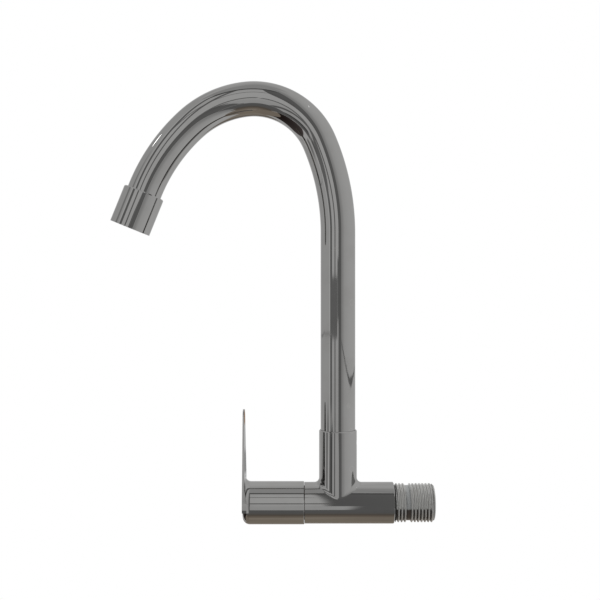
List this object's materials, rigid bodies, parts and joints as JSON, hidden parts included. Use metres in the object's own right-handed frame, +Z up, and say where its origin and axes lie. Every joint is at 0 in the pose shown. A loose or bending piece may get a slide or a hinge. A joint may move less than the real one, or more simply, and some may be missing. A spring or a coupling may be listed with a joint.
{
  "type": "wall-mounted sink tap",
  "caption": "Wall-mounted sink tap with a tall swivelling swan-neck spout, a flat quarter-turn lever and a male threaded inlet.",
  "frame": {"origin": "on the inlet's axis, in the plane where the inlet thread starts, on the seal ring's wall side", "axes": "+X along the inlet towards the wall, +Z up along the spout's foot, the lever and the outlet towards -X"},
  "size_m": [0.1771, 0.0244, 0.2425],
  "materials": {
    "chrome_plate": "polished chrome plate, dark mirror",
    "plated_thread": "dull nickel-plated cut thread",
    "brass": "turned brass",
    "black_rubber": "matt black rubber",
    "fibre": "pressed fibre",
    "ceramic": "lapped ceramic",
    "acetal": "moulded acetal",
    "aerator_plastic": "moulded grey plastic",
    "stainless_steel": "turned stainless steel",
    "plug_plastic": "plated plastic plug"
  },
  "bodies": {
    "tap": {"tap_body": "chrome_plate", "inlet_nipple": "plated_thread", "inlet_seal_ring": "black_rubber", "cartridge_housing": "brass", "cartridge_gasket": "fibre", "fixed_ceramic_disc": "ceramic", "seat_seal": "black_rubber", "hub_guide_ring": "acetal", "spout_lock_screw": "stainless_steel", "spout_wear_ring": "acetal"},
    "lever": {"lever_handle": "chrome_plate", "spline_insert": "acetal", "handle_grub_screw": "stainless_steel", "grub_screw_plug": "plug_plastic", "spindle": "brass", "spindle_orings": "black_rubber", "thrust_washer": "acetal", "moving_ceramic_disc": "ceramic", "spindle_circlip": "stainless_steel"},
    "spout": {"spout_tube": "chrome_plate", "swivel_bush": "brass", "swivel_orings": "black_rubber", "spout_end_ring": "brass", "aerator_housing": "chrome_plate", "aerator_gasket": "black_rubber", "aerator_cage": "aerator_plastic", "diffuser_plate": "aerator_plastic", "aerator_screens": "stainless_steel"}
  },
  "joints": [
    {"name": "handle_turn", "type": "hinge", "parent": "tap", "child": "lever", "pos_m": [-0.08325, 0, 0], "axis": [-1, 0, 0], "range_deg": [0, 90]},
    {"name": "spout_swivel", "type": "hinge", "parent": "tap", "child": "spout", "pos_m": [-0.03125, 0, 0.04], "axis": [0, 0, 1], "range_deg": [-90, 90]}
  ]
}
